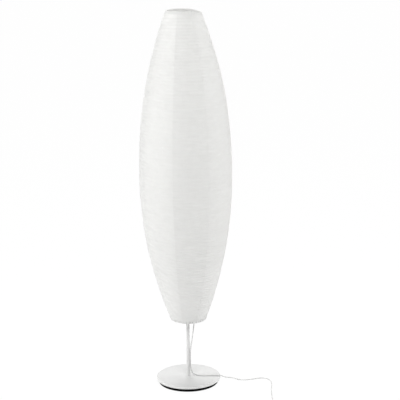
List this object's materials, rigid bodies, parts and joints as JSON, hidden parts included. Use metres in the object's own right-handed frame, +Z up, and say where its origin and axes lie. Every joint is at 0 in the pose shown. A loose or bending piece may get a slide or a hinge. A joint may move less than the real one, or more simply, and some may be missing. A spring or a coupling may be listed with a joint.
{
  "type": "paper lantern floor lamp",
  "caption": "Floor lamp with a tall spindle-shaped paper lantern on a wire stretcher, a thin steel pole, a round weighted base and a lead with a foot switch and plug.",
  "frame": {"origin": "centre of the pad's underside, on the floor", "axes": "+Z up along the pole, -Y towards the viewer, +X to the viewer's right"},
  "size_m": [0.4292, 0.4225, 1.24],
  "materials": {
    "pad": "matte black rubber",
    "tray": "matte black moulded plastic",
    "zinc": "zinc plated steel",
    "iron": "raw cast iron",
    "white_paint": "satin white powder coat",
    "holder_plastic": "white moulded plastic",
    "ceramic": "glazed white ceramic",
    "brass": "bright brass",
    "nickel": "nickel plated",
    "bulb_plastic": "white moulded plastic",
    "board": "circuit board",
    "opal": "opal diffuser",
    "stretcher_wire": "white coated steel wire",
    "rib": "thin coated wire",
    "paper": "white fibrous rice paper",
    "lead_plastic": "pale grey-white cable sheath",
    "tie": "white plastic twist tie",
    "switch_plastic": "white moulded plastic",
    "plug_plastic": "white moulded plastic"
  },
  "bodies": {
    "stand": {"base_pad": "pad", "base_tray": "tray", "tray_screws": "zinc", "base_weight": "iron", "base_cover": "white_paint", "pole_stud": "zinc", "base_washer": "zinc", "base_nut": "zinc", "lower_pole": "white_paint", "pole_joiner": "zinc", "upper_pole": "white_paint", "pole_nipple": "zinc", "holder_cap": "holder_plastic", "holder_nut": "zinc", "holder_relief": "lead_plastic", "holder_insert": "ceramic", "terminals": "brass", "centre_contact": "brass", "screw_shell": "brass", "holder_sleeve": "holder_plastic", "lead": "lead_plastic", "lead_middle": "lead_plastic", "lead_coil": "lead_plastic", "coil_tie": "tie", "lead_end": "lead_plastic", "switch_base": "switch_plastic", "switch_cover": "switch_plastic", "switch_contacts": "brass", "switch_spring": "zinc", "switch_screws": "zinc", "switch_reliefs": "lead_plastic", "plug_body": "plug_plastic", "plug_pins": "nickel", "plug_relief": "lead_plastic"},
    "shade": {"stretcher_hub": "stretcher_wire", "lower_rods": "stretcher_wire", "upper_rods": "stretcher_wire", "bottom_ring": "stretcher_wire", "top_ring": "stretcher_wire", "rib_wire": "rib", "paper_gore_1": "paper", "paper_gore_2": "paper", "paper_gore_3": "paper", "paper_gore_4": "paper", "paper_gore_5": "paper", "paper_gore_6": "paper", "paper_gore_7": "paper", "paper_gore_8": "paper"},
    "clamp": {"clamp_ring": "holder_plastic"},
    "bulb": {"bulb_contact": "zinc", "bulb_cap": "nickel", "bulb_body": "bulb_plastic", "bulb_driver": "board", "bulb_led_board": "board", "bulb_globe": "opal"},
    "button": {"switch_button": "switch_plastic"}
  },
  "joints": [
    {"name": "shade_turn", "type": "hinge", "parent": "stand", "child": "shade", "pos_m": [0, 0, 0.726], "axis": [0, 0, 1], "continuous": true},
    {"name": "clamp_ring_turn", "type": "hinge", "parent": "stand", "child": "clamp", "pos_m": [0, 0, 0.732], "axis": [0, 0, 1], "continuous": true},
    {"name": "bulb_turn", "type": "hinge", "parent": "stand", "child": "bulb", "pos_m": [0, 0, 0.74], "axis": [0, 0, 1], "continuous": true},
    {"name": "switch_press", "type": "slide", "parent": "stand", "child": "button", "axis": [0, 0, -1], "range_m": [0, 0.003], "stiffness_N_per_m": 300, "springref_m": -0.002, "deforming": ["switch_spring"]}
  ]
}
